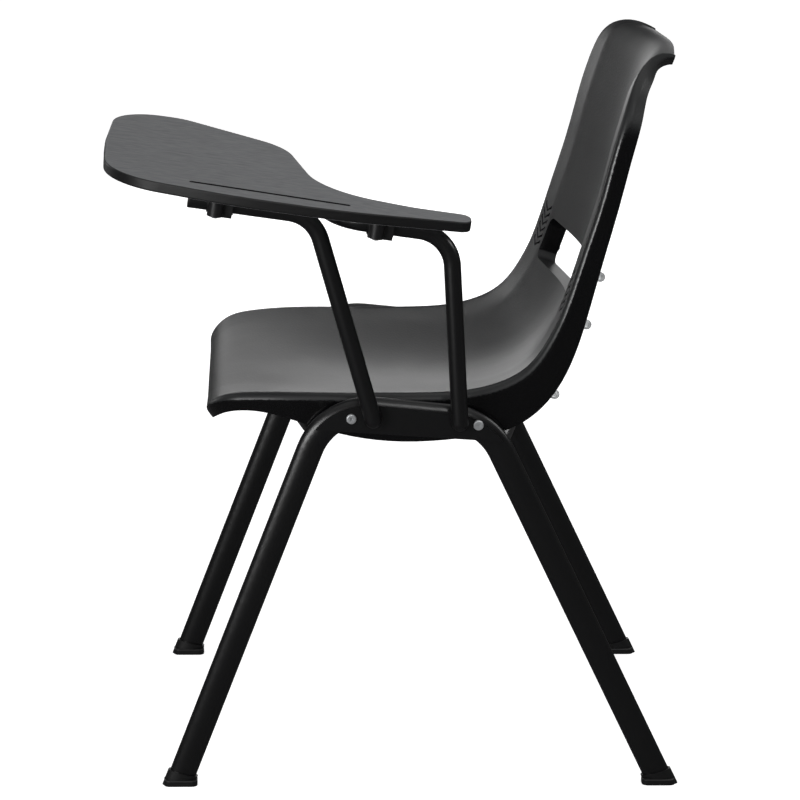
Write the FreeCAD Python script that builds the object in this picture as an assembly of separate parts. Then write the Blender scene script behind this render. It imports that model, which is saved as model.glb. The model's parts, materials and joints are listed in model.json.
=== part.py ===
"""Student desk chair: a one-piece shell on two bent oval-tube leg frames, with a flip-up writing tablet.

Millimetres. +Z up, +X the sitter's left, the chair faces -Y. Everything is drawn about the point on the
floor midway between the four feet, then moved so that the origin is the middle of the chair's box at the
floor.
"""
import FreeCAD, Part
import math
import os

V = FreeCAD.Vector

# ---- leg frames -------------------------------------------------------------------------------
FRAME_X = 240.0              # distance of each frame's plane from the middle
FOOT_Y = 275.0               # the legs' axes meet the floor this far in front and behind
FRONT_LEG_SLOPE = 0.375      # Y per Z
REAR_LEG_SLOPE = 0.484
RAIL_TOP_Z = 432.7           # axis height of the top run at Y = 0
RAIL_SLOPE = 0.095           # the top run falls to the rear
TUBE_LONG = 30.0             # oval tube, across the leg in the frame's plane
TUBE_SHORT = 16.0            # oval tube, sideways
TUBE_WALL = 1.6
FRAME_BEND = 70.0
LEG_END_Z = 5.0              # the tube stands this high inside its glide

# ---- glides -----------------------------------------------------------------------------------
GLIDE_LONG = 38.0
GLIDE_WIDE = 22.0
GLIDE_PAD = 7.0
GLIDE_WALL = 2.2
GLIDE_COLLAR_LOW = 9.0
GLIDE_COLLAR_HIGH = 21.0
FIT = 0.06                   # clearance between pieces that are pushed together

# ---- crossbars --------------------------------------------------------------------------------
BAR_RADIUS = 8.0
BAR_Z = 403.0
FRONT_BAR_Y = -116.0
REAR_BAR_Y = 86.0
BAR_BOW = 20.0               # how far the middle of a bar stands away from its ends
BAR_BOW_X = 125.0            # half the length of a bar's straight middle

# ---- shell ------------------------------------------------------------------------------------
SHELL_WALL = 4.0
SHELL_HALF = 229.0           # outside of the skirt where it is bolted to the frames
RIM_RADIUS = 8.0
FLANK = 62.0                 # width of the flat band and rim beside the dished panel
TOP_PANEL_HALF = 158.0       # above LEVEL_AT the bands narrow so that the panel keeps this half width
TOP_PANEL_SHARE = 0.88       # but never more than this share of the shell's half width
DISH_ROUND = 0.45            # how round the bottom of the dish is, 0 is a sharp valley

# One row per station from the front lip to the curled top edge: rim Y and Z, skirt edge Y and Z,
# half width, how far the band's inner side lies below the rim, and how deep the panel is below the band.
STATIONS = [
    (-243, 421, -236, 412, 172, 1.0, 0.0),
    (-239, 433, -231, 419, 190, 1.5, 0.0),
    (-225, 444, -219, 427, 205, 2.0, 1.0),
    (-192, 451, -186, 431, 218, 3.0, 3.0),
    (-148, 453, -143, 422, 226, 4.0, 6.0),
    (-85, 453, -85, 406, SHELL_HALF, 5.0, 10.0),
    (-15, 453, -14, 399, SHELL_HALF, 5.0, 13.0),
    (45, 456, 49, 404, SHELL_HALF, 5.0, 15.0),
    (88, 467, 102, 417, SHELL_HALF, 5.0, 18.0),
    (120, 489, 142, 451, 228, 5.0, 21.0),
    (140, 520, 164, 491, 226, 5.0, 24.0),
    (157, 562, 183, 553, 225, 5.0, 26.0),
    (174, 617, 198, 611, 225, 5.0, 27.0),
    (190, 670, 212, 664, 225, 5.0, 27.0),
    (203, 723, 225, 718, 224, 5.0, 27.0),
    (216, 768, 236, 762, 220, 5.0, 27.0),
    (226, 795, 242, 786, 207, 4.5, 26.0),
    (237, 811, 250, 799, 187, 4.0, 24.0),
    (252, 820, 257, 806, 160, 3.0, 19.0),
    (268, 821, 268, 808, 134, 2.0, 13.0),
    (283, 816, 279, 806, 112, 1.0, 8.0),
]
LEVEL_FROM = 12              # above this station the dish turns level, and is level from the next
LEVEL_AT = 15

# ---- window and slots in the back -------------------------------------------------------------
WINDOW_HALF = 158.0
WINDOW_Z = 556.0             # middle of the window on the band's face
WINDOW_HIGH = 52.0
WINDOW_CORNER = 11.0
WINDOW_WALL_DEPTH = 22.0     # the window's frame stands this deep behind the panel
WINDOW_WALL = 3.0
WINDOW_FIRST_STATION = 8     # the window's frame is shaped on these stations of the panel
WINDOW_LAST_STATION = 15
WINDOW_COLUMNS = 11          # points each side of the middle
BACK_SLOPE = 0.298           # Y per Z of the back
CHEVRON_ROWS = 6
CHEVRON_PITCH = 8.5
CHEVRON_X = 186.0            # middle of a column of slots
CHEVRON_WIDE = 34.0
CHEVRON_DROP = 7.0
CHEVRON_GAP = 3.2
CHEVRON_TOP_Z = 592.0

# ---- shell fixings ----------------------------------------------------------------------------
BOLT_PLACES = [(-82.0, 431.0), (59.0, 424.0)]     # Y, Z of the two bolts on each side
BOLT_RADIUS = 3.0
BOLT_HOLE = 3.2
BOLT_HEAD_RADIUS = 5.7
BOLT_HEAD_HIGH = 3.2
BOLT_SOCKET = 2.0
NUT_RADIUS = 5.6
NUT_HIGH = 5.0
WASHER_RADIUS = 8.0
WASHER_THICK = 1.5
SPACER_RADIUS = 7.5
CLEAR = 0.1                  # air between neighbouring faces of one body

# ---- arm --------------------------------------------------------------------------------------
PLATE_THICK = 3.0
PLATE_BOTTOM_FRONT = (-108.0, 417.0)              # Y, Z
PLATE_BOTTOM_REAR = (80.0, 405.0)
PLATE_INSET = 7.5            # the plate's top edge lies this far below the tube's outline
ARM_RADIUS = 9.5
ARM_WALL = 1.6
ARM_BEND = 42.0
ARM_SLOPE = 0.1376           # the runs under the tablet fall to the rear, Z per Y
ARM_AXIS_Z = 643.8           # height of the hinge axis at Y = 0
FRONT_BASE = (-58.0, 432.0)  # Y, Z of the lower end of the front upright
FRONT_UPRIGHT_SLOPE = -0.2917
REAR_BASE = (38.0, 428.5)
REAR_UPRIGHT_SLOPE = -0.0616
FRONT_RUN_END = -261.0       # along the run
REST_START = -67.0           # where the rear tube turns in under the tablet
REST_BEND = 45.0
REST_TURN = 60.0             # degrees
REST_LENGTH = 96.0
CAP_LENGTH = 3.0
WELD_RADIUS = 2.6

# ---- tablet -----------------------------------------------------------------------------------
TABLET_TILT = 0.077          # rises towards the sitter
TABLET_THICK = 12.0
TABLET_GAP = 11.5            # from the hinge axis up to the underside
# Outline in the tablet's own plane: sideways from the hinge axis, along it, corner radius.
TABLET_OUTLINE = [
    (26, 44, 14), (50, -95, 500), (50, -215, 500), (26, -357, 75), (-110, -363, 400), (-258, -357, 56),
    (-258, -280, 55), (-192, -160, 75), (-28, -120, 100), (-7, -20, 150), (-7, 44, 12),
]
GROOVE_ENDS = [(15, -262), (23, -92)]
GROOVE_WIDE = 6.0
GROOVE_DEEP = 3.0
TABLET_EDGE = 2.0            # edge rounding
BLOCK_PLACES = {"front": -228.0, "rear": -52.0}
BLOCK_LONG = 27.0
BLOCK_HALF = 17.0
BLOCK_LOW = 12.4             # from the axis down
BLOCK_ROUND = 5.0
BOSS_RADIUS = 8.5
BOSS_LOW = 9.0               # from the axis down
BOSS_OUT = 21.3              # sideways from the axis, so that its screw clears the body
BOSS_SHIFT = -5.0            # along the axis from the middle of the block
TAB_OUT = 31.0
TAB_THICK = 5.0
BUSH_OUTER = 10.6
BUSH_RUNNING = 0.06
BUSH_FLANGE = 11.3            # stays just under the board
SCREW_RADIUS = 2.0
SCREW_HEAD = 4.0
SCREW_HEAD_HIGH = 2.4
SCREW_INTO_TABLET = 8.0
REST_PAD_RADIUS = 9.0
REST_PAD_GAP = 0.3

# ---- stacking bumpers -------------------------------------------------------------------------
BUMPER_X = 214.0
BUMPER_RADIUS = 5.5
BUMPER_STEM = 60.0           # long enough to reach through the shell, which cuts it off
BUMPER_STATIONS = [(194.0, 584.0), (180.0, 530.0), (146.0, 450.0)]   # Y, Z on the skirt's rear edge


def export(nodes):
    """Move the whole chair so that its box stands centred on the origin, and write one STEP per node."""
    boxes = [shape.optimalBoundingBox(True, False) for shape in nodes.values()]
    middle_x = (min(box.XMin for box in boxes) + max(box.XMax for box in boxes)) / 2.0
    middle_y = (min(box.YMin for box in boxes) + max(box.YMax for box in boxes)) / 2.0
    print("origin", round(middle_x, 3), round(middle_y, 3))
    for node, shape in nodes.items():
        shape.translate(V(-middle_x, -middle_y, 0))
        shape.exportStep("parts/" + node + ".step")
        print(node, len(shape.Solids), round(shape.Volume / 1000.0, 2), "cm3", shape.isValid())


def mirrored(shape):
    """The same shape on the other side of the chair."""
    return shape.mirror(V(0, 0, 0), V(1, 0, 0))


def cylinder_between(start, end, radius):
    """A round bar from one point to another."""
    along = end - start
    return Part.makeCylinder(radius, along.Length, start, along)


def corner_arc(before, corner, after, radius):
    """The tangent arc that rounds a corner: its first, middle and last point."""
    one = (before - corner).normalize()
    two = (after - corner).normalize()
    half_angle = one.getAngle(two) / 2.0
    reach = radius / math.tan(half_angle)
    middle_line = (one + two).normalize()
    centre = corner + middle_line * (radius / math.sin(half_angle))
    return corner + one * reach, centre - middle_line * radius, corner + two * reach


def bent_path(points, radius):
    """A wire of straight runs joined by tangent arcs of one radius."""
    edges = []
    here = points[0]
    for before, corner, after in zip(points, points[1:], points[2:]):
        first, middle, last = corner_arc(before, corner, after, radius)
        edges.append(Part.LineSegment(here, first).toShape())
        edges.append(Part.Arc(first, middle, last).toShape())
        here = last
    edges.append(Part.LineSegment(here, points[-1]).toShape())
    return Part.Wire(edges)


def rounded_face(corners):
    """A flat face from (point, corner radius) pairs."""
    arcs = []
    for index, (corner, radius) in enumerate(corners):
        before = corners[index - 1][0]
        after = corners[(index + 1) % len(corners)][0]
        arcs.append(corner_arc(before, corner, after, radius))
    edges = []
    for index, (first, middle, last) in enumerate(arcs):
        edges.append(Part.Arc(first, middle, last).toShape())
        edges.append(Part.LineSegment(last, arcs[(index + 1) % len(arcs)][0]).toShape())
    return Part.Face(Part.Wire(edges))


def swept_round(path, radius):
    """A solid round bar along a wire."""
    start = path.Edges[0].Vertexes[0].Point
    direction = path.Edges[0].tangentAt(path.Edges[0].FirstParameter)
    circle = Part.Wire(Part.makeCircle(radius, start, direction))
    return path.makePipeShell([circle], True, False)


def swept_oval(path, long, short):
    """A solid oval bar along a wire that lies in a plane of constant X, its short side along X."""
    start = path.Edges[0].Vertexes[0].Point
    direction = path.Edges[0].tangentAt(path.Edges[0].FirstParameter)
    across = direction.cross(V(1, 0, 0)).normalize()
    ellipse = Part.Ellipse(start + across * (long / 2.0), start + V(short / 2.0, 0, 0), start)
    return path.makePipeShell([Part.Wire(ellipse.toShape())], True, False)


# ---- leg frames -------------------------------------------------------------------------------
def rail_z(y):
    """Height of the top run's axis."""
    return RAIL_TOP_Z - RAIL_SLOPE * y


def leg_y(z, front):
    """Y of a leg's axis at a height."""
    if front:
        return -FOOT_Y + FRONT_LEG_SLOPE * z
    return FOOT_Y - REAR_LEG_SLOPE * z


def frame_corners(x):
    """The frame's axis: front foot, two upper corners, rear foot."""
    front_y = (-FOOT_Y + FRONT_LEG_SLOPE * RAIL_TOP_Z) / (1.0 + FRONT_LEG_SLOPE * RAIL_SLOPE)
    rear_y = (FOOT_Y - REAR_LEG_SLOPE * RAIL_TOP_Z) / (1.0 - REAR_LEG_SLOPE * RAIL_SLOPE)
    below = -20.0
    return [V(x, leg_y(below, True), below), V(x, front_y, rail_z(front_y)),
            V(x, rear_y, rail_z(rear_y)), V(x, leg_y(below, False), below)]


def frame_body(x, grow=0.0):
    """The frame's outside, larger all round by grow."""
    path = bent_path(frame_corners(x), FRAME_BEND)
    return swept_oval(path, TUBE_LONG + 2.0 * grow, TUBE_SHORT + 2.0 * grow)


def bolt_holes(radius):
    """Bars through both sides at the four shell bolts."""
    bars = []
    for y, z in BOLT_PLACES:
        bars.append(cylinder_between(V(-290, y, z), V(290, y, z), radius))
    return bars


def leg_frame(x):
    """One bent oval tube, open at its feet, drilled for the shell bolts."""
    tube = frame_body(x).cut(frame_body(x, -TUBE_WALL))
    floor_cut = Part.makeBox(100, 800, 60, V(x - 50, -400, LEG_END_Z - 60))
    tube = tube.cut(floor_cut)
    for bar in bolt_holes(BOLT_HOLE):
        tube = tube.cut(bar)
    return tube


def glide(x, front):
    """A plastic shoe: a flat pad and a collar, higher on the leg's outer side."""
    outward = -1.0 if front else 1.0
    middle = leg_y(GLIDE_PAD, front)
    corners = []
    for sx, sy in ((1, 1), (1, -1), (-1, -1), (-1, 1)):
        corners.append((V(x + sx * GLIDE_WIDE / 2.0, middle + sy * GLIDE_LONG / 2.0, 0), 7.0))
    pad = rounded_face(corners).extrude(V(0, 0, GLIDE_PAD))
    pad = pad.makeFillet(1.5, [edge for edge in pad.Edges if edge.BoundBox.ZMin > GLIDE_PAD - 0.01])
    low_end = V(x, leg_y(-20.0, front), -20.0)
    high_end = V(x, leg_y(60.0, front), 60.0)
    leg = Part.Wire([Part.LineSegment(low_end, high_end).toShape()])
    collar = swept_oval(leg, TUBE_LONG + 2.0 * GLIDE_WALL, TUBE_SHORT + 2.0 * GLIDE_WALL)
    half = GLIDE_LONG / 2.0 + 4.0
    outer_y = middle + outward * half
    inner_y = middle - outward * half
    side = [V(x - 20, outer_y, 0), V(x - 20, outer_y, GLIDE_COLLAR_HIGH),
            V(x - 20, inner_y, GLIDE_COLLAR_LOW), V(x - 20, inner_y, 0), V(x - 20, outer_y, 0)]
    keep = Part.Face(Part.makePolygon(side)).extrude(V(40, 0, 0))
    shoe = pad.fuse(collar.common(keep)).removeSplitter()
    socket = swept_oval(leg, TUBE_LONG + 2.0 * FIT, TUBE_SHORT + 2.0 * FIT)
    above = Part.makeBox(60, 140, 100, V(x - 30, middle - 70, LEG_END_Z - FIT))
    plug = swept_oval(leg, TUBE_LONG - 2.0 * TUBE_WALL - 1.0, TUBE_SHORT - 2.0 * TUBE_WALL - 1.0)
    plug = plug.common(Part.makeBox(60, 140, 22, V(x - 30, middle - 70, 2.0)))
    return shoe.cut(socket.common(above)).fuse(plug).removeSplitter()


def crossbar(y, bow):
    """A round bar between the frames, its middle bowed away from the bolts."""
    end_x = FRAME_X
    points = [V(-end_x, y, BAR_Z), V(-BAR_BOW_X, y + bow, BAR_Z),
              V(BAR_BOW_X, y + bow, BAR_Z), V(end_x, y, BAR_Z)]
    bar = swept_round(bent_path(points, 60.0), BAR_RADIUS)
    for x in (FRAME_X, -FRAME_X):
        bar = bar.cut(frame_body(x))
    pieces = sorted(bar.Solids, key=lambda solid: solid.Volume)
    return pieces[-1]


# ---- shell ------------------------------------------------------------------------------------
def section_profile(half, flank, drop, dish, depth):
    """(sideways, down) points of one half of a cross-section, from the middle to the skirt's edge."""
    crease = half - flank
    rim = min(RIM_RADIUS, 0.6 * depth)
    full = math.sqrt(1.0 + DISH_ROUND ** 2) - DISH_ROUND
    points = []
    for part in (0.0, 0.12, 0.25, 0.4, 0.55, 0.7, 0.83, 0.93, 1.0):
        rise = (math.sqrt(part ** 2 + DISH_ROUND ** 2) - DISH_ROUND) / full
        points.append((crease * part, drop, dish * (1.0 - rise)))
    flat_end = half - rim
    band = flat_end - crease
    for part in (0.2, 0.45, 0.7, 0.86):
        points.append((crease + band * part, drop * (1.0 - part), 0.0))
    for degrees in (0, 22.5, 45, 67.5, 90):
        angle = math.radians(degrees)
        points.append((flat_end + rim * math.sin(angle), rim * (1.0 - math.cos(angle)), 0.0))
    for part in (0.15, 0.4, 0.7, 1.0):
        points.append((half, rim + (depth - rim) * part, 0.0))
    return points


def shell_rows():
    """The sitting side of the shell as rows of points, from the left skirt edge to the right one."""
    rows = []
    for index, (rim_y, rim_z, edge_y, edge_z, half, drop, dish) in enumerate(STATIONS):
        rim = V(0, rim_y, rim_z)
        down = V(0, edge_y - rim_y, edge_z - rim_z)
        depth = down.Length
        down.normalize()
        dish_direction = down
        if index > LEVEL_FROM:
            fall = BACK_SLOPE * max(LEVEL_AT - index, 0) / (LEVEL_AT - LEVEL_FROM)
            dish_direction = V(0, 1, -fall).normalize()
        flank = FLANK
        if index > LEVEL_AT:
            flank = min(FLANK, half - min(TOP_PANEL_HALF, TOP_PANEL_SHARE * half))
        one_half = []
        for x, below, dished in section_profile(half, flank, drop, dish, depth):
            one_half.append(rim + V(x, 0, 0) + down * below + dish_direction * dished)
        other = [V(-point.x, point.y, point.z) for point in reversed(one_half[1:])]
        rows.append(other + one_half)
    return rows


def offset_rows(rows, distance):
    """The same rows moved away from the sitter along the surface's normal."""
    last_row = len(rows) - 1
    last_point = len(rows[0]) - 1
    moved = []
    for i, row in enumerate(rows):
        new_row = []
        for j, point in enumerate(row):
            along = rows[min(i + 1, last_row)][j] - rows[max(i - 1, 0)][j]
            across = row[min(j + 1, last_point)] - row[max(j - 1, 0)]
            normal = along.cross(across).normalize()
            new_row.append(point + normal * distance)
        moved.append(new_row)
    return moved


def chord_lengths(points):
    """Running distance along a row of points."""
    total = [0.0]
    for before, after in zip(points, points[1:]):
        total.append(total[-1] + (after - before).Length)
    return total


def fitted_curve(points, parameters):
    """A smooth curve that passes its points at the given parameters."""
    curve = Part.BSplineCurve()
    curve.interpolate(Points=list(points), Parameters=parameters)
    return curve


def smooth_surface(rows):
    """A smooth surface through a grid of points: curves one way, then curves through their poles."""
    along = chord_lengths([row[0] for row in rows])
    across = chord_lengths(rows[len(rows) // 2])
    columns = [fitted_curve(column, along) for column in zip(*rows)]
    pole_rows = zip(*[column.getPoles() for column in columns])
    lines = [fitted_curve(poles, across) for poles in pole_rows]
    surface = Part.BSplineSurface()
    surface.buildFromPolesMultsKnots(
        [line.getPoles() for line in lines],
        columns[0].getMultiplicities(), lines[0].getMultiplicities(),
        columns[0].getKnots(), lines[0].getKnots(), False, False, 3, 3)
    return surface


def thick_sheet(rows, wall):
    """A closed solid between the rows' smooth surface and the same surface moved back by wall."""
    front = smooth_surface(rows)
    back = smooth_surface(offset_rows(rows, wall))
    faces = [front.toShape(), back.toShape()]
    front_ends = front.bounds()
    back_ends = back.bounds()
    for end in range(4):
        edges = []
        for surface, ends in ((front, front_ends), (back, back_ends)):
            edge = surface.uIso(ends[end]) if end < 2 else surface.vIso(ends[end])
            edges.append(edge.toShape())
        faces.append(Part.makeRuledSurface(edges[0], edges[1]))
    sewn = Part.makeCompound(faces)
    sewn.sewShape(0.01)
    solid = Part.Solid(Part.Shell(sewn.Faces))
    if solid.Volume < 0:
        solid.reverse()
    return solid


def back_direction():
    """Unit vectors up the back and straight into it."""
    up = V(0, BACK_SLOPE, 1).normalize()
    return up, V(0, up.z, -up.y)


def window_block(grow, start, depth):
    """A rounded rectangular block along the window's axis."""
    up, into = back_direction()
    centre = V(0, 156.0, WINDOW_Z) + into * start
    half_high = WINDOW_HIGH / 2.0 + grow
    corners = []
    for sx, sz in ((1, 1), (1, -1), (-1, -1), (-1, 1)):
        corner = centre + V(sx * (WINDOW_HALF + grow), 0, 0) + up * (sz * half_high)
        corners.append((corner, WINDOW_CORNER + grow))
    return rounded_face(corners).extrude(into * depth)


def chevron(x, z):
    """One V-shaped slot cutter."""
    up, into = back_direction()
    centre = V(x, 150.0 + BACK_SLOPE * (z - 556.0), z) - into * 10.0
    half = CHEVRON_WIDE / 2.0
    outline = [centre + V(-half, 0, 0), centre + up * -CHEVRON_DROP, centre + V(half, 0, 0),
               centre + V(half, 0, 0) - up * CHEVRON_GAP, centre - up * (CHEVRON_DROP + CHEVRON_GAP),
               centre + V(-half, 0, 0) - up * CHEVRON_GAP, centre + V(-half, 0, 0)]
    slot = Part.Face(Part.makePolygon(outline)).extrude(into * 40.0)
    for side in (-1, 1):
        end = centre + V(side * half, 0, 0) - up * (CHEVRON_GAP / 2.0)
        slot = slot.fuse(Part.makeCylinder(CHEVRON_GAP * 0.8, 40.0, end, into))
    return slot


def window_frame():
    """The deeper wall round the window: a ring that follows the panel and stands out behind it."""
    rows = shell_rows()[WINDOW_FIRST_STATION:WINDOW_LAST_STATION]
    middle = len(rows[0]) // 2
    inner_columns = [row[middle - WINDOW_COLUMNS:middle + WINDOW_COLUMNS + 1] for row in rows]
    slab = thick_sheet(inner_columns, WINDOW_WALL_DEPTH)
    ring = window_block(WINDOW_WALL, -60.0, 150.0).cut(window_block(0.0, -80.0, 190.0))
    return ring.common(slab)


def seat_shell():
    """The finished shell: window with its frame, slots in both bands, bolt holes in the skirts."""
    shell = thick_sheet(shell_rows(), SHELL_WALL)
    shell = shell.cut(window_block(WINDOW_WALL, -60.0, 150.0)).fuse(window_frame())
    cutters = bolt_holes(BOLT_HOLE + 0.2)
    for row in range(CHEVRON_ROWS):
        z = CHEVRON_TOP_Z - row * CHEVRON_PITCH
        cutters.append(chevron(CHEVRON_X, z))
        cutters.append(chevron(-CHEVRON_X, z))
    for cutter in cutters:
        shell = shell.cut(cutter)
    pieces = sorted(shell.Solids, key=lambda solid: solid.Volume)
    return pieces[-1]


# ---- shell fixings ----------------------------------------------------------------------------
def bolt_group(side, head_x):
    """Two socket-head bolts on one side, from their heads in to their ends inside the skirt."""
    inner_x = SHELL_HALF - SHELL_WALL - WASHER_THICK - NUT_HIGH - 2.0
    bolts = []
    for y, z in BOLT_PLACES:
        shank = Part.makeCylinder(BOLT_RADIUS, head_x - inner_x, V(inner_x, y, z), V(1, 0, 0))
        head = Part.makeCylinder(BOLT_HEAD_RADIUS, BOLT_HEAD_HIGH, V(head_x, y, z), V(1, 0, 0))
        top = [edge for edge in head.Edges if edge.BoundBox.XMin > head_x + BOLT_HEAD_HIGH - 0.01]
        head = head.makeFillet(1.6, top)
        socket_corners = []
        for step in range(6):
            angle = math.radians(60.0 * step)
            radius = BOLT_SOCKET
            socket_corners.append(V(head_x + 1.4, y + radius * math.cos(angle), z + radius * math.sin(angle)))
        socket_corners.append(socket_corners[0])
        socket = Part.Face(Part.makePolygon(socket_corners)).extrude(V(10, 0, 0))
        bolts.append(shank.fuse(head).cut(socket).removeSplitter())
    group = Part.makeCompound(bolts)
    return group if side > 0 else mirrored(group)


def ring(outer, inner, x, y, z, thick):
    """A flat ring across the chair."""
    disc = Part.makeCylinder(outer, thick, V(x, y, z), V(1, 0, 0))
    return disc.cut(Part.makeCylinder(inner, thick + 2.0, V(x - 1.0, y, z), V(1, 0, 0)))


def four_rings(outer, inner, x, thick):
    """The same ring at all four shell bolts."""
    rings = []
    for y, z in BOLT_PLACES:
        one = ring(outer, inner, x, y, z, thick)
        rings.append(one)
        rings.append(mirrored(one))
    return Part.makeCompound(rings)


def nuts():
    """Hexagon nuts inside the skirts."""
    x = SHELL_HALF - SHELL_WALL - CLEAR - WASHER_THICK - NUT_HIGH
    pieces = []
    for y, z in BOLT_PLACES:
        corners = []
        for step in range(7):
            angle = math.radians(60.0 * step)
            corners.append(V(x, y + NUT_RADIUS * math.cos(angle), z + NUT_RADIUS * math.sin(angle)))
        nut = Part.Face(Part.makePolygon(corners)).extrude(V(NUT_HIGH, 0, 0))
        nut = nut.cut(Part.makeCylinder(BOLT_RADIUS + 0.02, 20, V(x - 5, y, z), V(1, 0, 0)))
        pieces.append(nut)
        pieces.append(mirrored(nut))
    return Part.makeCompound(pieces)


# ---- arm --------------------------------------------------------------------------------------
def plate_inner_x():
    """Where the arm plate's inner face stands: on the outside of the left frame."""
    return FRAME_X + TUBE_SHORT / 2.0


def arm_x():
    """The arm tubes stand against the plate's outer face."""
    return plate_inner_x() + PLATE_THICK + ARM_RADIUS


def arm_plate():
    """A flat plate over the outside of the left frame's top bend, straight along its lower edge."""
    x = plate_inner_x()
    corners = frame_corners(x)
    shift = TUBE_LONG / 2.0 - PLATE_INSET
    grown = grown_corners(corners, shift)
    top = bent_path(grown, FRAME_BEND + shift)
    outline = Part.Wire(top.Edges + [Part.makeLine(grown[-1], grown[0])])
    plate = Part.Face(outline).extrude(V(PLATE_THICK, 0, 0))
    front_y, front_z = PLATE_BOTTOM_FRONT
    rear_y, rear_z = PLATE_BOTTOM_REAR
    slope = (rear_z - front_z) / (rear_y - front_y)
    line = [V(x - 5, -400, front_z + slope * (-400 - front_y)),
            V(x - 5, 400, front_z + slope * (400 - front_y)),
            V(x - 5, 400, -200), V(x - 5, -400, -200)]
    below = Part.Face(Part.makePolygon(line + [line[0]])).extrude(V(PLATE_THICK + 10, 0, 0))
    plate = plate.cut(below)
    for bar in bolt_holes(BOLT_HOLE):
        plate = plate.cut(bar)
    return plate.removeSplitter()


def grown_corners(corners, distance):
    """Corners of the frame's axis moved outward so that each run shifts by distance."""
    lines = []
    for start, end in zip(corners, corners[1:]):
        along = (end - start).normalize()
        outward = V(0, -along.z, along.y)
        lines.append((start + outward * distance, along))
    moved = [lines[0][0]]
    for (one, along_one), (two, along_two) in zip(lines, lines[1:]):
        gap = two - one
        turn = along_one.y * along_two.z - along_one.z * along_two.y
        reach = (gap.y * along_two.z - gap.z * along_two.y) / turn
        moved.append(one + along_one * reach)
    last_start, last_along = lines[-1]
    moved.append(last_start + last_along * (corners[-1] - corners[-2]).Length)
    return moved


def run_point(along):
    """A point of the hinge axis, at a distance forward (-) or back (+) of Y = 0."""
    length = math.hypot(1.0, ARM_SLOPE)
    return V(arm_x(), along / length, ARM_AXIS_Z - along * ARM_SLOPE / length)


def tablet_directions():
    """Unit vectors of the tablet at rest: outboard, along the hinge axis to the rear, and up."""
    rear = V(0, 1, -ARM_SLOPE).normalize()
    level_up = V(1, 0, 0).cross(rear).normalize()
    tilt = math.atan(TABLET_TILT)
    out = V(1, 0, 0) * math.cos(tilt) - level_up * math.sin(tilt)
    return out, rear, out.cross(rear).normalize()


def tablet_point(side, along, up):
    """A point in the tablet's own directions from the hinge axis."""
    out, rear, normal = tablet_directions()
    return V(arm_x(), 0, ARM_AXIS_Z) + out * side + rear * along + normal * up


def upright_corner(base, slope):
    """Where an upright's line meets the hinge axis."""
    base_y, base_z = base
    height = (ARM_AXIS_Z - ARM_SLOPE * base_y - base_z) / (1.0 + ARM_SLOPE * slope)
    return V(arm_x(), base_y + slope * height, base_z + height)


def hollow_tube(points):
    """A bent round tube with a domed lower end at its first point."""
    path = bent_path(points, ARM_BEND)
    outside = swept_round(path, ARM_RADIUS).fuse(Part.makeSphere(ARM_RADIUS, points[0]))
    inside = swept_round(path, ARM_RADIUS - ARM_WALL)
    return outside.cut(inside).removeSplitter()


def front_arm_points():
    """The front tube's axis: base, corner, front end."""
    base = V(arm_x(), *FRONT_BASE)
    return [base, upright_corner(FRONT_BASE, FRONT_UPRIGHT_SLOPE), run_point(FRONT_RUN_END)]


def rear_arm_tube():
    """The rear tube: upright, run under the tablet, and a bend inward that the tablet rests on."""
    base = V(arm_x(), *REAR_BASE)
    out, rear, normal = tablet_directions()
    turn = math.radians(REST_TURN)
    reach = REST_BEND * math.tan(turn / 2.0)
    corner = run_point(REST_START - reach)
    inward = rear * -math.cos(turn) - out * math.sin(turn)
    end = corner + inward * (reach + REST_LENGTH)
    path_points = [base, upright_corner(REAR_BASE, REAR_UPRIGHT_SLOPE), corner, end]
    return path_points, end, inward


def arm_cap(end, direction):
    """A plastic plug with a thin domed flange in a tube's open end."""
    flange = Part.makeCylinder(ARM_RADIUS, CAP_LENGTH, end, direction)
    outer = end + direction * CAP_LENGTH
    rim = [edge for edge in flange.Edges if edge.BoundBox.isInside(outer) and len(edge.Vertexes) == 1]
    far = [edge for edge in rim if (edge.BoundBox.Center - outer).Length < 0.5]
    flange = flange.makeFillet(1.5, far)
    plug = Part.makeCylinder(ARM_RADIUS - ARM_WALL - FIT, 12.0, end - direction * 12.0, direction)
    return flange.fuse(plug).removeSplitter()


def weld_beads():
    """Fillet welds where the arm tubes meet the plate, one each side of each tube."""
    plate_face = plate_inner_x() + PLATE_THICK
    x = plate_face + 0.2
    offset = 7.2
    beads = []
    for base, slope in ((FRONT_BASE, FRONT_UPRIGHT_SLOPE), (REAR_BASE, REAR_UPRIGHT_SLOPE)):
        along = V(0, slope, 1).normalize()
        across = V(0, along.z, -along.y)
        start = V(x, *base)
        for side in (-1, 1):
            for step in range(4):
                centre = start + across * (side * offset) + along * (-3.0 + 3.6 * step)
                beads.append(Part.makeSphere(WELD_RADIUS, centre))
    bead = beads[0]
    for other in beads[1:]:
        bead = bead.fuse(other)
    wall = Part.makeBox(100, 400, 400, V(plate_face - 100, -200, 300))
    bead = bead.cut(wall)
    for points in (front_arm_points(), rear_arm_tube()[0]):
        bead = bead.cut(cylinder_between(points[0], points[1], ARM_RADIUS))
        bead = bead.cut(Part.makeSphere(ARM_RADIUS, points[0]))
    return Part.makeCompound(bead.Solids)


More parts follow.
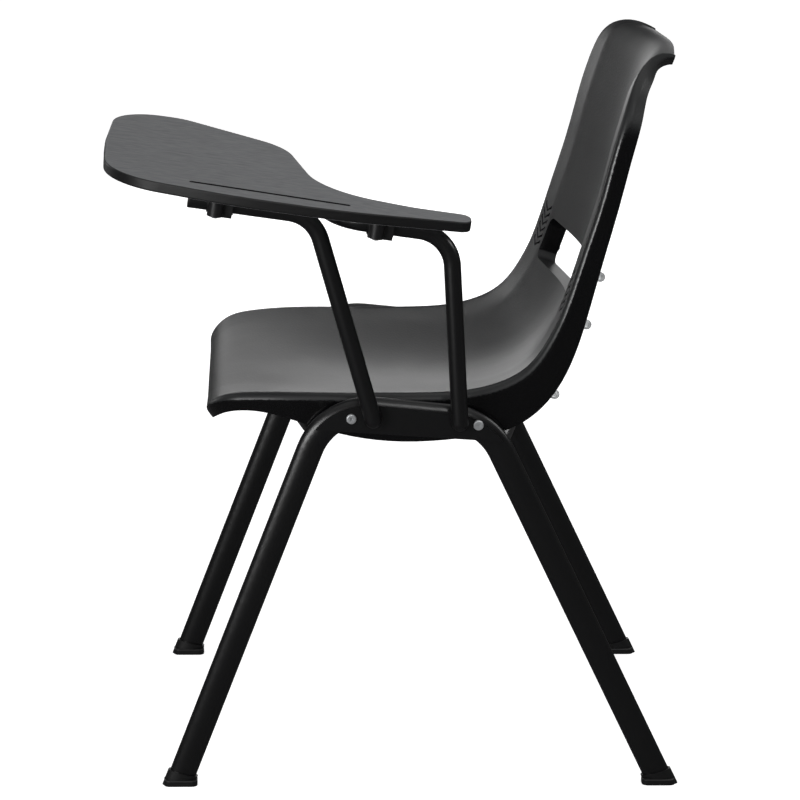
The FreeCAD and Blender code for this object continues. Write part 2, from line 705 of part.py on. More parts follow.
# ---- tablet -----------------------------------------------------------------------------------
def tablet_board():
    """The writing board with its pencil groove and screw holes."""
    corners = [(tablet_point(a, b, TABLET_GAP), radius) for a, b, radius in TABLET_OUTLINE]
    out, rear, normal = tablet_directions()
    board = rounded_face(corners).extrude(normal * TABLET_THICK)
    flat_edges = []
    for edge in board.Edges:
        start = edge.Vertexes[0].Point
        end = edge.Vertexes[-1].Point
        if abs((end - start).dot(normal)) < 0.01:
            flat_edges.append(edge)
    board = board.makeFillet(TABLET_EDGE, flat_edges)
    top = TABLET_GAP + TABLET_THICK
    ends = [tablet_point(a, b, top - GROOVE_DEEP) for a, b in GROOVE_ENDS]
    along = (ends[1] - ends[0]).normalize()
    side = along.cross(normal) * (GROOVE_WIDE / 2.0)
    strip = [ends[0] - side, ends[1] - side, ends[1] + side, ends[0] + side, ends[0] - side]
    groove = Part.Face(Part.makePolygon(strip)).extrude(normal * 20.0)
    for end in ends:
        groove = groove.fuse(Part.makeCylinder(GROOVE_WIDE / 2.0, 20.0, end, normal))
    board = board.cut(groove)
    for start, reach in screw_lines():
        board = board.cut(cylinder_between(start - normal * 5.0, reach, SCREW_RADIUS))
    return board.removeSplitter()


def block_screws(along):
    """Start (under the head) and tip of the two screws of the block at one place."""
    lines = []
    in_boss = (BOSS_OUT, BOSS_SHIFT, -BOSS_LOW)
    in_tab = (-TAB_OUT + 7.0, 0.0, TABLET_GAP - TAB_THICK)
    for side, shift, low in (in_boss, in_tab):
        start = tablet_point(side, along + shift, low)
        tip = tablet_point(side, along + shift, TABLET_GAP + SCREW_INTO_TABLET)
        lines.append((start, tip))
    return lines


def screw_lines():
    """Start (under the head) and tip of each tablet screw."""
    lines = []
    for along in BLOCK_PLACES.values():
        lines.extend(block_screws(along))
    return lines


def hinge_block(along):
    """A moulded saddle under the tablet: rounded body round the tube, screw boss and screw tab."""
    rear, normal = tablet_directions()[1:]
    start = -BLOCK_LONG / 2.0
    body_corners = [
        (tablet_point(-BLOCK_HALF, start, TABLET_GAP), 1.0),
        (tablet_point(BLOCK_HALF, start, TABLET_GAP), 1.0),
        (tablet_point(BLOCK_HALF, start, -BLOCK_LOW), BLOCK_ROUND),
        (tablet_point(-BLOCK_HALF, start, -BLOCK_LOW), BLOCK_ROUND)]
    body = rounded_face(body_corners).extrude(rear * BLOCK_LONG)
    boss_low = tablet_point(BOSS_OUT, BOSS_SHIFT, -BOSS_LOW)
    body = body.fuse(Part.makeCylinder(BOSS_RADIUS, BOSS_LOW + TABLET_GAP, boss_low, normal))
    tab_corners = []
    for a, b in ((-10, -9), (-TAB_OUT, -9), (-TAB_OUT, 9), (-10, 9)):
        tab_corners.append((tablet_point(a, b, TABLET_GAP - TAB_THICK), 3.0))
    body = body.fuse(rounded_face(tab_corners).extrude(normal * TAB_THICK))
    body = body.cut(cylinder_between(run_point(start - 5), run_point(start + BLOCK_LONG + 5), BUSH_OUTER))
    for first, tip in block_screws(0.0):
        body = body.cut(cylinder_between(first - normal * 5.0, tip, SCREW_RADIUS))
    body = body.removeSplitter()
    body.translate(rear * along)
    return body


def hinge_bush(along):
    """A flanged nylon sleeve that turns on the arm tube."""
    start = run_point(along - BLOCK_LONG / 2.0)
    end = run_point(along + BLOCK_LONG / 2.0)
    axis = (end - start).normalize()
    sleeve = cylinder_between(start, end, BUSH_OUTER)
    for place in (start - axis * 1.2, end):
        sleeve = sleeve.fuse(Part.makeCylinder(BUSH_FLANGE, 1.2, place, axis))
    bore = cylinder_between(start - axis * 5.0, end + axis * 5.0, ARM_RADIUS + BUSH_RUNNING)
    return sleeve.cut(bore).removeSplitter()


def tablet_screws():
    """Pan-head screws from below through the hinge blocks into the tablet."""
    out, rear, normal = tablet_directions()
    screws = []
    for start, tip in screw_lines():
        head = Part.makeCylinder(SCREW_HEAD, SCREW_HEAD_HIGH, start, normal * -1.0)
        low_edges = [edge for edge in head.Edges
                     if (edge.BoundBox.Center - (start - normal * SCREW_HEAD_HIGH)).Length < 0.3
                     and len(edge.Vertexes) == 1]
        head = head.makeFillet(1.2, low_edges)
        screws.append(head.fuse(cylinder_between(start, tip, SCREW_RADIUS)).removeSplitter())
    return Part.makeCompound(screws)


def rest_pad(rest_end, inward):
    """A round felt pad under the tablet where it lies on the rear tube's inner end."""
    out, rear, normal = tablet_directions()
    middle = rest_end - inward * 16.0
    low = middle + normal * (ARM_RADIUS + REST_PAD_GAP)
    high = TABLET_GAP - ARM_RADIUS - REST_PAD_GAP
    return Part.makeCylinder(REST_PAD_RADIUS, high, low, normal)


# ---- stacking bumpers -------------------------------------------------------------------------
def rearmost_solid(shape):
    """The piece that is furthest back, when a cut leaves more than one."""
    return max(shape.Solids, key=lambda solid: solid.BoundBox.YMax)


def bumpers():
    """Clear domed posts that stand on the back of each flat band and show past the skirt's edge."""
    domes = []
    rearward = V(0, 0.94, -0.34).normalize()
    for y, z in BUMPER_STATIONS:
        centre = V(BUMPER_X, y, z)
        stem = Part.makeCylinder(BUMPER_RADIUS, BUMPER_STEM, centre - rearward * BUMPER_STEM, rearward)
        dome = stem.fuse(Part.makeSphere(BUMPER_RADIUS, centre))
        domes.append(dome)
        domes.append(mirrored(dome))
    return domes


def main():
    """Build and write every node."""
    os.makedirs("parts", exist_ok=True)
    nodes = {}
    shell = seat_shell()
    nodes["seat_shell"] = shell
    for name, side in (("left", 1.0), ("right", -1.0)):
        nodes["leg_frame_" + name] = leg_frame(side * FRAME_X)
        nodes["glide_front_" + name] = glide(side * FRAME_X, True)
        nodes["glide_rear_" + name] = glide(side * FRAME_X, False)
    nodes["crossbar_front"] = crossbar(FRONT_BAR_Y, -BAR_BOW)
    nodes["crossbar_rear"] = crossbar(REAR_BAR_Y, BAR_BOW)
    frame_outside = plate_inner_x()
    nodes["shell_bolts_left"] = bolt_group(1.0, frame_outside + PLATE_THICK + CLEAR)
    nodes["shell_bolts_right"] = bolt_group(-1.0, frame_outside + CLEAR)
    gap = FRAME_X - TUBE_SHORT / 2.0 - SHELL_HALF
    nodes["shell_spacers"] = four_rings(SPACER_RADIUS, BOLT_HOLE, SHELL_HALF + CLEAR, gap - 2.0 * CLEAR)
    washer_x = SHELL_HALF - SHELL_WALL - CLEAR - WASHER_THICK
    nodes["shell_washers"] = four_rings(WASHER_RADIUS, BOLT_HOLE, washer_x, WASHER_THICK)
    nodes["shell_nuts"] = nuts()
    nodes["arm_plate"] = arm_plate()
    front_points = front_arm_points()
    rear_points, rest_end, inward = rear_arm_tube()
    nodes["arm_tube_front"] = hollow_tube(front_points)
    nodes["arm_tube_rear"] = hollow_tube(rear_points)
    run_forward = (front_points[2] - front_points[1]).normalize()
    nodes["arm_cap_front"] = arm_cap(front_points[2], run_forward)
    nodes["arm_cap_rest"] = arm_cap(rest_end, inward)
    nodes["arm_welds"] = weld_beads()
    nodes["tablet_board"] = tablet_board()
    for name, along in BLOCK_PLACES.items():
        nodes["hinge_block_" + name] = hinge_block(along)
        nodes["hinge_bush_" + name] = hinge_bush(along)
    nodes["tablet_screws"] = tablet_screws()
    nodes["rest_pad"] = rest_pad(rest_end, inward)
    nodes["stack_bumpers"] = Part.makeCompound([rearmost_solid(dome.cut(shell)) for dome in bumpers()])
    export(nodes)


if __name__ == "__main__":
    main()
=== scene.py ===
"""Looks of a student desk chair: moulded shell, powder-coated frames and a flip-up writing tablet."""

import json
import logging
import math
from dataclasses import dataclass, field
from enum import Enum
from typing import Any

import bpy
from mathutils import Matrix, Vector, noise
from mathutils.bvhtree import BVHTree

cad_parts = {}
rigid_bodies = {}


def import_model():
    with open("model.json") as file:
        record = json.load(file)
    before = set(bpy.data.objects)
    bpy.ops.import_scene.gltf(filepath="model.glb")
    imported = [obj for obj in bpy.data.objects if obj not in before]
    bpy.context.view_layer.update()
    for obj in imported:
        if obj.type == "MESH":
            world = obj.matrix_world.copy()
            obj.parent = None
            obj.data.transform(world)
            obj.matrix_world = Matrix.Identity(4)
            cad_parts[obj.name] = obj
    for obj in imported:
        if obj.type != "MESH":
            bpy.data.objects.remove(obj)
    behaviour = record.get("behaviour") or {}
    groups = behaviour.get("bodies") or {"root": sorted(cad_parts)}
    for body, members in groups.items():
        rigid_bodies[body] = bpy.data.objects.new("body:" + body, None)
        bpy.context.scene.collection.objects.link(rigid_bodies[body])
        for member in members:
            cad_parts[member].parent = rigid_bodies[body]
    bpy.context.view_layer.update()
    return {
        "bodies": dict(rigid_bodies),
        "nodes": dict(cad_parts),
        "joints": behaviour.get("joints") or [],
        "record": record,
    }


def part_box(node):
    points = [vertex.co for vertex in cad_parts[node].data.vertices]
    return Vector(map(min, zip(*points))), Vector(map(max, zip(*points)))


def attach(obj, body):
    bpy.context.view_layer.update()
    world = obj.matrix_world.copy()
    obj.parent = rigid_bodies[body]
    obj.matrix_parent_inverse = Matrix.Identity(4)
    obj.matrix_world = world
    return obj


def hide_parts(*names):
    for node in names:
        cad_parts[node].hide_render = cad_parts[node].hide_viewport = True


LOG = logging.getLogger("desk_chair")
MM = 0.001
CHAIR_BODY = "root"


class Surface(Enum):
    """The record's material slots."""

    SHELL = "shell_polypropylene"
    STEEL = "powder_coated_steel"
    GLIDE = "glide_plastic"
    NYLON = "black_nylon"
    ZINC = "zinc_plated_steel"
    FELT = "felt"
    BUMPER = "clear_bumper"
    LAMINATE = "tablet_laminate"


def linear(colour: str) -> tuple[float, float, float, float]:
    """Turn an sRGB hex colour into linear RGBA.

    Args:
        colour: six hex digits after a hash sign.

    Returns:
        The linear colour with an alpha of 1.
    """
    parts = [int(colour[i:i + 2], 16) / 255.0 for i in (1, 3, 5)]
    red, green, blue = [c / 12.92 if c <= 0.04045 else ((c + 0.055) / 1.055) ** 2.4 for c in parts]
    return (red, green, blue, 1.0)


def add_node(tree: bpy.types.NodeTree, kind: str, links: dict[Any, Any] | None = None,
             **settings: Any) -> bpy.types.Node:
    """Add one node with its settings, and set or link its inputs.

    Args:
        tree: the node tree.
        kind: the node's type name.
        links: input name or number, to a socket to link or a plain value.
        settings: attributes of the node.

    Returns:
        The new node.
    """
    node = tree.nodes.new(kind)
    for name, value in settings.items():
        setattr(node, name, value)
    for name, source in (links or {}).items():
        if isinstance(source, bpy.types.NodeSocket):
            tree.links.new(source, node.inputs[name])
        else:
            node.inputs[name].default_value = source
    return node


@dataclass(frozen=True)
class Finish:
    """What every finish has: a name, a colour and how it throws light back."""

    name: str
    colour: str
    roughness: float
    ior: float = 1.5
    metallic: float = 0.0

    def begin(self) -> tuple[bpy.types.Material, bpy.types.NodeTree, bpy.types.Node]:
        """Start a material with its shader.

        Returns:
            The material, its node tree and its shader node.
        """
        material = bpy.data.materials.new(self.name)
        material.use_nodes = True
        tree = material.node_tree
        shader = tree.nodes["Principled BSDF"]
        shader.inputs["Base Color"].default_value = linear(self.colour)
        shader.inputs["Roughness"].default_value = self.roughness
        shader.inputs["Metallic"].default_value = self.metallic
        shader.inputs["IOR"].default_value = self.ior
        return material, tree, shader

    def speckle(self, tree: bpy.types.NodeTree, shader: bpy.types.Node, grain_mm: float,
                height_mm: float, spread: float) -> None:
        """Give the surface a fine relief and a slight change of gloss.

        Args:
            tree: the material's node tree.
            shader: its shader node.
            grain_mm: size of one bump.
            height_mm: how far a bump stands up.
            spread: how much the roughness changes about its middle value.
        """
        place = add_node(tree, "ShaderNodeTexCoord")
        grain = add_node(tree, "ShaderNodeTexNoise", {
            "Vector": place.outputs["Object"], "Scale": 1.0 / (grain_mm * MM), "Detail": 2.0})
        bump = add_node(tree, "ShaderNodeBump", {
            "Height": grain.outputs["Fac"], "Distance": height_mm * MM, "Strength": 1.0})
        gloss = add_node(tree, "ShaderNodeMapRange", {
            "Value": grain.outputs["Fac"], "To Min": self.roughness - spread,
            "To Max": self.roughness + spread})
        tree.links.new(bump.outputs["Normal"], shader.inputs["Normal"])
        tree.links.new(gloss.outputs["Result"], shader.inputs["Roughness"])


@dataclass(frozen=True)
class MouldedPolypropylene(Finish):
    """Injection-moulded polypropylene: the mould is etched under the sitting face and polished round it."""

    # The etched side is matt and the polished rim and skirt reflect like lacquer; the faces that look up are
    # painted paler as painted light, and the rim and skirt darker as painted shade.
    polished_roughness: float = 0.16
    painted_shade_colour: str = "#060607"
    # The real pebble is under 1 mm; it is drawn 2.2 mm wide, because a finer one doesn't show.
    pebble_mm: float = 2.2
    pebble_high_mm: float = 0.12
    # Etched, and painted paler as painted light, where the surface looks up at least a little: sine of the
    # height it looks to.
    etched_and_lit_from: float = 0.06
    etched_and_lit_full: float = 0.24
    # The gloss changes slowly over the etched face, as sitting rubs it.
    clouds_per_metre: float = 9.0
    cloud_spread: float = 0.05

    def material(self) -> bpy.types.Material:
        """Make the material: matt pebble and a paler colour as painted light on every face that looks upward,
        gloss and a darker colour as painted shade elsewhere.

        Returns:
            The material.
        """
        material, tree, shader = self.begin()
        place = add_node(tree, "ShaderNodeTexCoord")
        turned = add_node(tree, "ShaderNodeSeparateXYZ", {"Vector": place.outputs["Normal"]})
        # This mask also sets the colour: paler as painted light where a face looks up, darker as painted
        # shade elsewhere.
        etched = add_node(tree, "ShaderNodeMapRange", {
            "Value": turned.outputs["Z"], "From Min": self.etched_and_lit_from, "From Max": self.etched_and_lit_full})
        pebble = add_node(tree, "ShaderNodeTexVoronoi", {
            "Vector": place.outputs["Object"], "Scale": 1.0 / (self.pebble_mm * MM)},
            feature="SMOOTH_F1")
        cloud = add_node(tree, "ShaderNodeTexNoise", {
            "Vector": place.outputs["Object"], "Scale": self.clouds_per_metre,
            "Detail": 3.0})
        height = add_node(tree, "ShaderNodeMath", {
            0: pebble.outputs["Distance"], 1: etched.outputs["Result"]}, operation="MULTIPLY")
        bump = add_node(tree, "ShaderNodeBump", {
            "Height": height.outputs["Value"], "Distance": self.pebble_high_mm * MM})
        worn = add_node(tree, "ShaderNodeMapRange", {
            "Value": cloud.outputs["Fac"], "To Min": self.roughness - self.cloud_spread,
            "To Max": self.roughness + self.cloud_spread})
        rough = add_node(tree, "ShaderNodeMapRange", {
            "Value": etched.outputs["Result"], "To Min": self.polished_roughness,
            "To Max": worn.outputs["Result"]})
        # Painted light and shade: the upward faces take the paler colour, and the rim and skirt take the
        # darker one.
        painted_light_and_shade = add_node(tree, "ShaderNodeMix", {
            "Factor": etched.outputs["Result"], 6: linear(self.painted_shade_colour), 7: linear(self.colour)},
            data_type="RGBA")
        tree.links.new(painted_light_and_shade.outputs[2], shader.inputs["Base Color"])
        tree.links.new(rough.outputs["Result"], shader.inputs["Roughness"])
        tree.links.new(bump.outputs["Normal"], shader.inputs["Normal"])
        return material


@dataclass(frozen=True)
class PowderCoat(Finish):
    """Black polyester powder, sprayed dry on steel tube and baked, which leaves a faint orange peel."""

    # The orange peel gives the tubes a soft, slightly broken highlight.
    peel_mm: float = 2.5
    peel_high_mm: float = 0.05
    peel_spread: float = 0.04

    def material(self) -> bpy.types.Material:
        """Make the semi-gloss coat with its slow ripple.

        Returns:
            The material.
        """
        material, tree, shader = self.begin()
        self.speckle(tree, shader, self.peel_mm, self.peel_high_mm, self.peel_spread)
        return material


@dataclass(frozen=True)
class EmbossedLaminate(Finish):
    """High-pressure laminate on board, pressed with a wood-grain plate: matt with long fine furrows."""

    # The crests carry the face colour, drawn mid grey instead of black as a painted sheen, and the furrows
    # are drawn darker as painted shade.
    furrow_shade: str = "#6e6f71"
    furrow_shade_at: float = 0.30
    crest_sheen_at: float = 0.70
    gloss_spread: float = 0.08
    # The pressed furrows are about 1 mm apart; they are drawn 2.4 mm apart so that they show.
    furrow_mm: float = 2.4
    furrow_long_mm: float = 55.0
    furrow_deep_mm: float = 0.12
    # The sawn edge is covered with a plain black band, which starts where the face turns over.
    band: str = "#080809"
    band_from: float = 0.80
    band_full: float = 0.92

    def material(self) -> bpy.types.Material:
        """Make the grain, which runs the length of the tablet, and the edge band round it.

        Returns:
            The material.
        """
        material, tree, shader = self.begin()
        place = add_node(tree, "ShaderNodeTexCoord")
        across = 1.0 / (self.furrow_mm * MM)
        stretch = add_node(tree, "ShaderNodeMapping", {
            "Vector": place.outputs["Object"], "Scale": (across, 1.0 / (self.furrow_long_mm * MM), across)})
        furrow = add_node(tree, "ShaderNodeTexNoise", {
            "Vector": stretch.outputs["Vector"], "Scale": 1.0, "Detail": 4.0, "Distortion": 0.4})
        # Painted sheen on the crests and painted shade in the furrows, following the same relief as the bump.
        sheen_and_furrow_shade = add_node(tree, "ShaderNodeValToRGB", {"Fac": furrow.outputs["Fac"]})
        sheen_and_furrow_shade.color_ramp.elements[0].position = self.furrow_shade_at
        sheen_and_furrow_shade.color_ramp.elements[0].color = linear(self.furrow_shade)
        sheen_and_furrow_shade.color_ramp.elements[1].position = self.crest_sheen_at
        sheen_and_furrow_shade.color_ramp.elements[1].color = linear(self.colour)
        bump = add_node(tree, "ShaderNodeBump", {
            "Height": furrow.outputs["Fac"], "Distance": self.furrow_deep_mm * MM})
        rough = add_node(tree, "ShaderNodeMapRange", {
            "Value": furrow.outputs["Fac"], "To Min": self.roughness + self.gloss_spread,
            "To Max": self.roughness - self.gloss_spread})
        turned = add_node(tree, "ShaderNodeSeparateXYZ", {"Vector": place.outputs["Normal"]})
        upright = add_node(tree, "ShaderNodeMath", {0: turned.outputs["Z"]}, operation="ABSOLUTE")
        face = add_node(tree, "ShaderNodeMapRange", {
            "Value": upright.outputs["Value"], "From Min": self.band_from, "From Max": self.band_full})
        colour = add_node(tree, "ShaderNodeMix", {
            "Factor": face.outputs["Result"], 6: linear(self.band), 7: sheen_and_furrow_shade.outputs["Color"]},
            data_type="RGBA")
        tree.links.new(colour.outputs[2], shader.inputs["Base Color"])
        tree.links.new(bump.outputs["Normal"], shader.inputs["Normal"])
        tree.links.new(rough.outputs["Result"], shader.inputs["Roughness"])
        return material


@dataclass(frozen=True)
class SatinFinish(Finish):
    """A finish whose whole character is a fine relief: moulded nylon, zinc plate, pressed felt."""

    grain_mm: float = 1.5
    high_mm: float = 0.05
    spread: float = 0.05

    def material(self) -> bpy.types.Material:
        """Make the material with its relief.

        Returns:
            The material.
        """
        material, tree, shader = self.begin()
        self.speckle(tree, shader, self.grain_mm, self.high_mm, self.spread)
        return material


@dataclass(frozen=True)
class ClearElastomer(Finish):
    """Cast polyurethane dome, clear with a grey cast, so that it lets light in and blurs what is behind."""

    passes: float = 0.55
    ripple_mm: float = 3.0
    ripple_high_mm: float = 0.02
    ripple_spread: float = 0.03

    def material(self) -> bpy.types.Material:
        """Make the translucent material.

        Returns:
            The material.
        """
        material, tree, shader = self.begin()
        shader.inputs["Transmission Weight"].default_value = self.passes
        self.speckle(tree, shader, self.ripple_mm, self.ripple_high_mm, self.ripple_spread)
        return material


FINISHES: dict[Surface, Finish] = {
    Surface.SHELL: MouldedPolypropylene("moulded_polypropylene", "#1a1b1c", 0.46, 1.49),
    Surface.STEEL: PowderCoat("powder_coated_steel", "#0b0b0c", 0.30),
    Surface.GLIDE: SatinFinish("moulded_polyethylene_glide", "#0c0c0d", 0.42),
    Surface.NYLON: SatinFinish("moulded_black_nylon", "#0e0e0f", 0.40),
    Surface.ZINC: SatinFinish("zinc_plated_steel", "#c4c6c8", 0.38, metallic=0.8, high_mm=0.01),
    Surface.FELT: SatinFinish("pressed_wool_felt", "#1c1c1d", 0.95, grain_mm=0.8, high_mm=0.25, spread=0.04),
    Surface.BUMPER: ClearElastomer("cast_clear_polyurethane", "#cfd1d2", 0.20),
    # The black laminate's face colour is drawn mid grey as a painted sheen.
    Surface.LAMINATE: EmbossedLaminate("embossed_black_laminate", "#838486", 0.46),
}


@dataclass
class PaintShop:
    """Makes each finish once, and puts it on nodes and new pieces."""

    made: dict[Surface, bpy.types.Material] = field(default_factory=dict)

    def get(self, surface: Surface) -> bpy.types.Material:
        """Give the material of a surface, making it at its first use.

        Args:
            surface: which of the record's slots.

        Returns:
            The material.
        """
        if surface not in self.made:
            self.made[surface] = FINISHES[surface].material()
        return self.made[surface]

    def paint(self, piece: bpy.types.Object, surface: Surface) -> None:
        """Put a surface's material in every slot of a piece.

        Args:
            piece: the object to paint.
            surface: which of the record's slots it wears.
        """
        if not piece.material_slots:
            piece.data.materials.append(None)
        for slot in piece.material_slots:
            slot.link = "OBJECT"
            slot.material = self.get(surface)


@dataclass
class SubAssembly:
    """A group of CAD nodes, each with the surface it wears."""

    title: str
    wears: dict[str, Surface]

    def dress(self, frame: dict[str, Any], shop: PaintShop) -> None:
        """Paint every node of the group.

        Args:
            shop: where the materials come from.
        """
        for name, surface in self.wears.items():
            shop.paint(frame["nodes"][name], surface)
            LOG.info("%s: %s wears %s", self.title, name, surface.value)


def chair_groups() -> list[SubAssembly]:
    """List the chair's sub-assemblies in the order they go together.

    Returns:
        The groups, which cover every CAD node once.
    """
    sides = ("left", "right")
    glides = {f"glide_{end}_{side}": Surface.GLIDE for end in ("front", "rear") for side in sides}
    steel = ("crossbar_front", "crossbar_rear", "arm_plate", "arm_tube_front", "arm_tube_rear", "arm_welds")
    bolts = {f"shell_bolts_{side}": Surface.ZINC for side in sides}
    return [
        SubAssembly("leg frames", {f"leg_frame_{side}": Surface.STEEL for side in sides} | glides),
        SubAssembly("shell", {"seat_shell": Surface.SHELL, "stack_bumpers": Surface.BUMPER}),
        SubAssembly("arm and bars", {name: Surface.STEEL for name in steel}
                    | {"arm_cap_front": Surface.NYLON, "arm_cap_rest": Surface.NYLON}),
        SubAssembly("shell fixings", bolts | {"shell_nuts": Surface.ZINC, "shell_washers": Surface.ZINC,
                                              "shell_spacers": Surface.NYLON}),
        SubAssembly("tablet", {"tablet_board": Surface.LAMINATE, "hinge_block_front": Surface.NYLON,
                               "hinge_block_rear": Surface.NYLON, "hinge_bush_front": Surface.NYLON,
                               "hinge_bush_rear": Surface.NYLON, "tablet_screws": Surface.ZINC,
                               "rest_pad": Surface.FELT}),
    ]


@dataclass
class WeldBeads:
    """The four fillet welds at the feet of the arm tubes, rippled as a hand-held torch leaves them."""

    voxel_mm: float = 0.5
    ripple_mm: float = 2.3
    ripple_high_mm: float = 0.35
    lump_mm: float = 4.0
    lump_high_mm: float = 0.5
    ripple_slant: float = 0.4

    def build(self, frame: dict[str, Any], shop: PaintShop) -> bpy.types.Object:
        """Roughen the plain CAD welds into beads, and let them stand for that node.

        Args:
            shop: where the materials come from.

        Returns:
            The beads.
        """
        plain = frame["nodes"]["arm_welds"]
        beads = bpy.data.objects.new("weld_beads", plain.data.copy())
        bpy.context.scene.collection.objects.link(beads)
        remesh = beads.modifiers.new("even", "REMESH")
        remesh.mode = "VOXEL"
        remesh.voxel_size = self.voxel_mm * MM
        remesh.use_smooth_shade = True
        graph = bpy.context.evaluated_depsgraph_get()
        mesh = bpy.data.meshes.new_from_object(beads.evaluated_get(graph))
        beads.modifiers.clear()
        beads.data = mesh
        moves = [self.lift(vertex.co) * vertex.normal for vertex in mesh.vertices]
        for vertex, move in zip(mesh.vertices, moves):
            vertex.co += move
        shop.paint(beads, Surface.STEEL)
        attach(beads, CHAIR_BODY)
        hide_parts("arm_welds")
        LOG.info("weld beads: %d points", len(mesh.vertices))
        return beads

    def lift(self, point: Vector) -> float:
        """Say how far the bead stands up at a point: even ripples with slow lumps.

        Args:
            point: a point of the plain bead.

        Returns:
            The height in metres.
        """
        ripple = math.sin(2.0 * math.pi * (point.y + self.ripple_slant * point.z) / (self.ripple_mm * MM))
        lump = noise.noise(point / (self.lump_mm * MM))
        return (self.ripple_high_mm * ripple + self.lump_high_mm * lump) * MM


@dataclass
class RimRidge:
    """The fine raised line where the etched band meets the polished rim, along both sides of the shell."""

    inward_mm: float = 9.0
    radius_mm: float = 0.9
    sunk_mm: float = 0.35
    # The sides are seen as a fan of rays from a point in front of the back and above the seat.
    fan_from_back: float = 0.42
    fan_below_top: float = 0.06
    first_degrees: float = -83.0
    last_degrees: float = -1.0
    rays: int = 70
    taper_rays: int = 6

    def build(self, frame: dict[str, Any], shop: PaintShop) -> list[bpy.types.Object]:
        """Lay one ridge along each side.

        Args:
            shop: where the materials come from.

        Returns:
            The two ridges.
        """
        shell = frame["nodes"]["seat_shell"]
        low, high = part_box("seat_shell")
        tree = BVHTree.FromPolygons([v.co for v in shell.data.vertices],
                                    [tuple(f.vertices) for f in shell.data.polygons])
        eye = Vector((0.0, high.y - self.fan_from_back, high.z - self.fan_below_top))
        ridges = []
        for name, edge, inward in (("left", high.x, -1.0), ("right", low.x, 1.0)):
            eye.x = edge + inward * self.inward_mm * MM
            points = self.trace(tree, eye)
            ridges.append(self.lay("rim_ridge_" + name, points, shop))
            LOG.info("rim ridge %s: %d points", name, len(points))
        return ridges

    def trace(self, tree: BVHTree, eye: Vector) -> list[Vector]:
        """Follow the sitting face at one distance from the side.

        Args:
            tree: the shell's surface.
            eye: where the fan of rays starts.

        Returns:
            Points a little inside the surface, from the seat's front to near the top.
        """
        points = []
        for step in range(self.rays):
            share = step / (self.rays - 1)
            angle = math.radians(self.first_degrees + share * (self.last_degrees - self.first_degrees))
            ray = Vector((0.0, math.cos(angle), math.sin(angle)))
            hit, _, _, _ = tree.ray_cast(eye, ray)
            if hit is not None:
                points.append(hit + ray * self.sunk_mm * MM)
        return points

    def lay(self, name: str, points: list[Vector], shop: PaintShop) -> bpy.types.Object:
        """Make a round line through the points, thinning out at both ends.

        Args:
            name: the piece's name.
            points: where it runs.
            shop: where the materials come from.

        Returns:
            The ridge.
        """
        curve = bpy.data.curves.new(name, "CURVE")
        curve.dimensions = "3D"
        curve.bevel_depth = self.radius_mm * MM
        curve.bevel_resolution = 3
        curve.use_fill_caps = True
        spline = curve.splines.new("POLY")
        spline.points.add(len(points) - 1)
        for index, (target, point) in enumerate(zip(spline.points, points)):
            target.co = (*point, 1.0)
            target.radius = min(1.0, (1 + min(index, len(points) - 1 - index)) / self.taper_rays)
        ridge = bpy.data.objects.new(name, curve)
        bpy.context.scene.collection.objects.link(ridge)
        curve.materials.append(shop.get(Surface.SHELL))
        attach(ridge, CHAIR_BODY)
        return ridge


@dataclass(frozen=True)
class Lamp:
    """A soft rectangular light: where it hangs and aims, its size in metres and its power in watts."""

    name: str
    place: tuple[float, float, float]
    aim: tuple[float, float, float]
    width: float
    height: float
    watts: float

    def hang(self) -> None:
        """Put the light in the scene."""
        light = bpy.data.lights.new(self.name, "AREA")
        light.shape = "RECTANGLE"
        light.size, light.size_y = self.width, self.height
        light.energy = self.watts
        holder = bpy.data.objects.new(self.name, light)
        bpy.context.scene.collection.objects.link(holder)
        holder.location = self.place
        holder.rotation_euler = (Vector(self.aim) - Vector(self.place)).to_track_quat("-Z", "Y").to_euler()


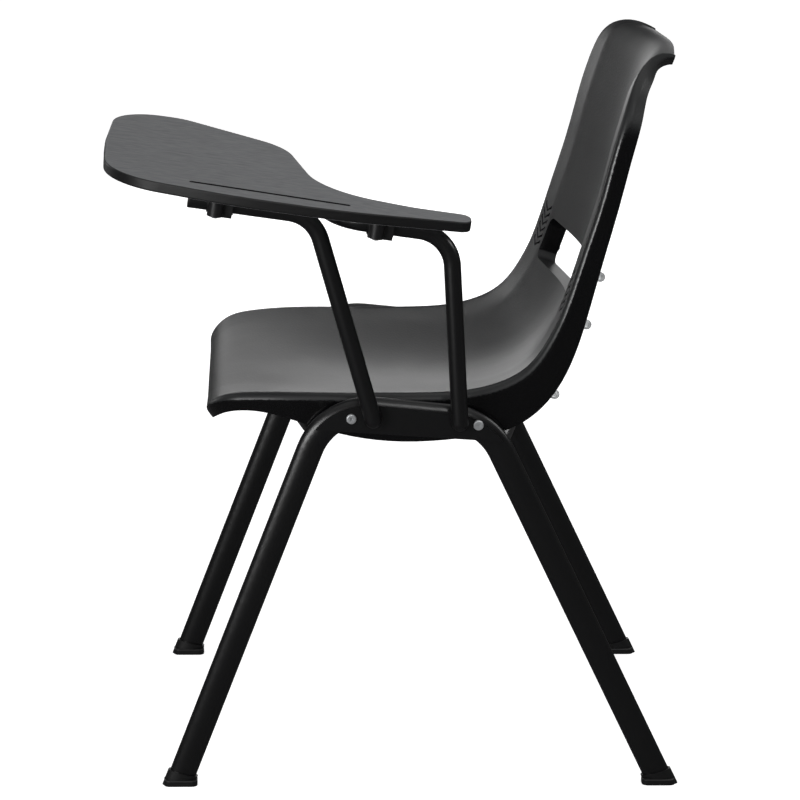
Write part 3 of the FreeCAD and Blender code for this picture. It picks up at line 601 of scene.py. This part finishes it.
@dataclass
class Studio:
    """A pale floor, soft lights and the camera."""

    floor_half: float = 30.0
    floor_colour: str = "#f4f4f4"
    # The room glows from above and is dim round the sides: sine of the height where the glow starts
    # and where it is full.
    glow_from: float = 0.5
    glow_full: float = 0.9
    room_dark: float = 0.06
    room_bright: float = 0.75
    floor_glow: float = 0.7
    # Where the camera stands from the tablet's hinge, and how it is turned.
    camera_from_hinge: tuple[float, float, float] = (3.8165, -0.182, 0.7662)
    yaw: float = -2.30
    pitch: float = 14.04
    roll: float = 0.62
    lens_mm: float = 160.7
    # A low wide light behind the chair makes the sheen on the seat, and the others draw the edges.
    lamps: tuple[Lamp, ...] = (
        Lamp("backdrop", (-3.4, 0.15, 0.86), (0.0, -0.1, 0.45), 2.4, 0.8, 17.0),
        Lamp("key", (-1.6, -2.2, 1.0), (0.0, -0.2, 0.45), 0.8, 0.7, 6.0),
        Lamp("back", (0.3, 2.4, 2.0), (0.0, 0.1, 0.5), 1.0, 1.0, 14.0),
        Lamp("rim_strip", (1.7, -1.25, 0.75), (0.19, -0.17, 0.44), 0.9, 0.5, 17.0),
        Lamp("side_strip", (3.2, 0.6, 2.4), (0.0, 0.1, 0.5), 0.4, 0.8, 14.0),
    )

    def floor(self) -> bpy.types.Object:
        """Lay the floor, which isn't part of the chair.

        Returns:
            The floor.
        """
        half = self.floor_half
        mesh = bpy.data.meshes.new("studio_floor")
        corners = [(-half, -half, 0), (half, -half, 0), (half, half, 0), (-half, half, 0)]
        mesh.from_pydata(corners, [], [(0, 1, 2, 3)])
        floor = bpy.data.objects.new("studio_floor", mesh)
        bpy.context.scene.collection.objects.link(floor)
        paper = SatinFinish("studio_paper", self.floor_colour, 0.85, grain_mm=4.0, high_mm=0.0).material()
        shader = paper.node_tree.nodes["Principled BSDF"]
        shader.inputs["Emission Color"].default_value = linear("#ffffff")
        shader.inputs["Emission Strength"].default_value = self.floor_glow
        floor.data.materials.append(paper)
        # Black gloss would otherwise mirror the bright paper from below and turn grey.
        floor.visible_glossy = False
        return floor

    def light(self) -> None:
        """Hang the lights and brighten the room."""
        world = bpy.data.worlds.new("studio")
        world.use_nodes = True
        tree = world.node_tree
        place = add_node(tree, "ShaderNodeTexCoord")
        height = add_node(tree, "ShaderNodeSeparateXYZ", {"Vector": place.outputs["Generated"]})
        glow = add_node(tree, "ShaderNodeMapRange", {
            "Value": height.outputs["Z"], "From Min": self.glow_from, "From Max": self.glow_full,
            "To Min": self.room_dark, "To Max": self.room_bright})
        background = tree.nodes["Background"]
        background.inputs["Color"].default_value = linear("#ffffff")
        tree.links.new(glow.outputs["Result"], background.inputs["Strength"])
        bpy.context.scene.world = world
        for lamp in self.lamps:
            lamp.hang()

    def camera(self, hinge: Vector) -> None:
        """Set up the camera from the tablet's hinge.

        Args:
            hinge: the hinge's point in the row frame.
        """
        yaw, pitch, roll = (math.radians(a) for a in (self.yaw, self.pitch, self.roll))
        ahead = Vector((-math.cos(yaw) * math.cos(pitch), -math.sin(yaw) * math.cos(pitch), -math.sin(pitch)))
        right = ahead.cross(Vector((0, 0, 1))).normalized()
        up = right.cross(ahead)
        right, up = (math.cos(roll) * right + math.sin(roll) * up,
                     math.cos(roll) * up - math.sin(roll) * right)
        lens = bpy.data.cameras.new("camera")
        lens.lens = self.lens_mm
        holder = bpy.data.objects.new("camera", lens)
        bpy.context.scene.collection.objects.link(holder)
        turn = Matrix((right, up, -ahead)).transposed().to_4x4()
        holder.matrix_world = Matrix.Translation(hinge + Vector(self.camera_from_hinge)) @ turn
        bpy.context.scene.camera = holder

    def build(self, hinge: Vector) -> None:
        """Build the floor, lights and camera.

        Args:
            hinge: the tablet's hinge in the row frame.
        """
        self.floor()
        self.light()
        self.camera(hinge)
        bpy.context.scene.view_settings.view_transform = "Standard"


def main() -> None:
    """Build the chair's looks round the frame, in order."""
    logging.basicConfig(level=logging.INFO, format="%(message)s")
    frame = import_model()
    shop = PaintShop()
    for group in chair_groups():
        group.dress(frame, shop)
    WeldBeads().build(frame, shop)
    RimRidge().build(frame, shop)
    hinge = Vector(frame["joints"][0]["pos_m"])
    Studio().build(hinge)


if __name__ == "__main__":
    main()
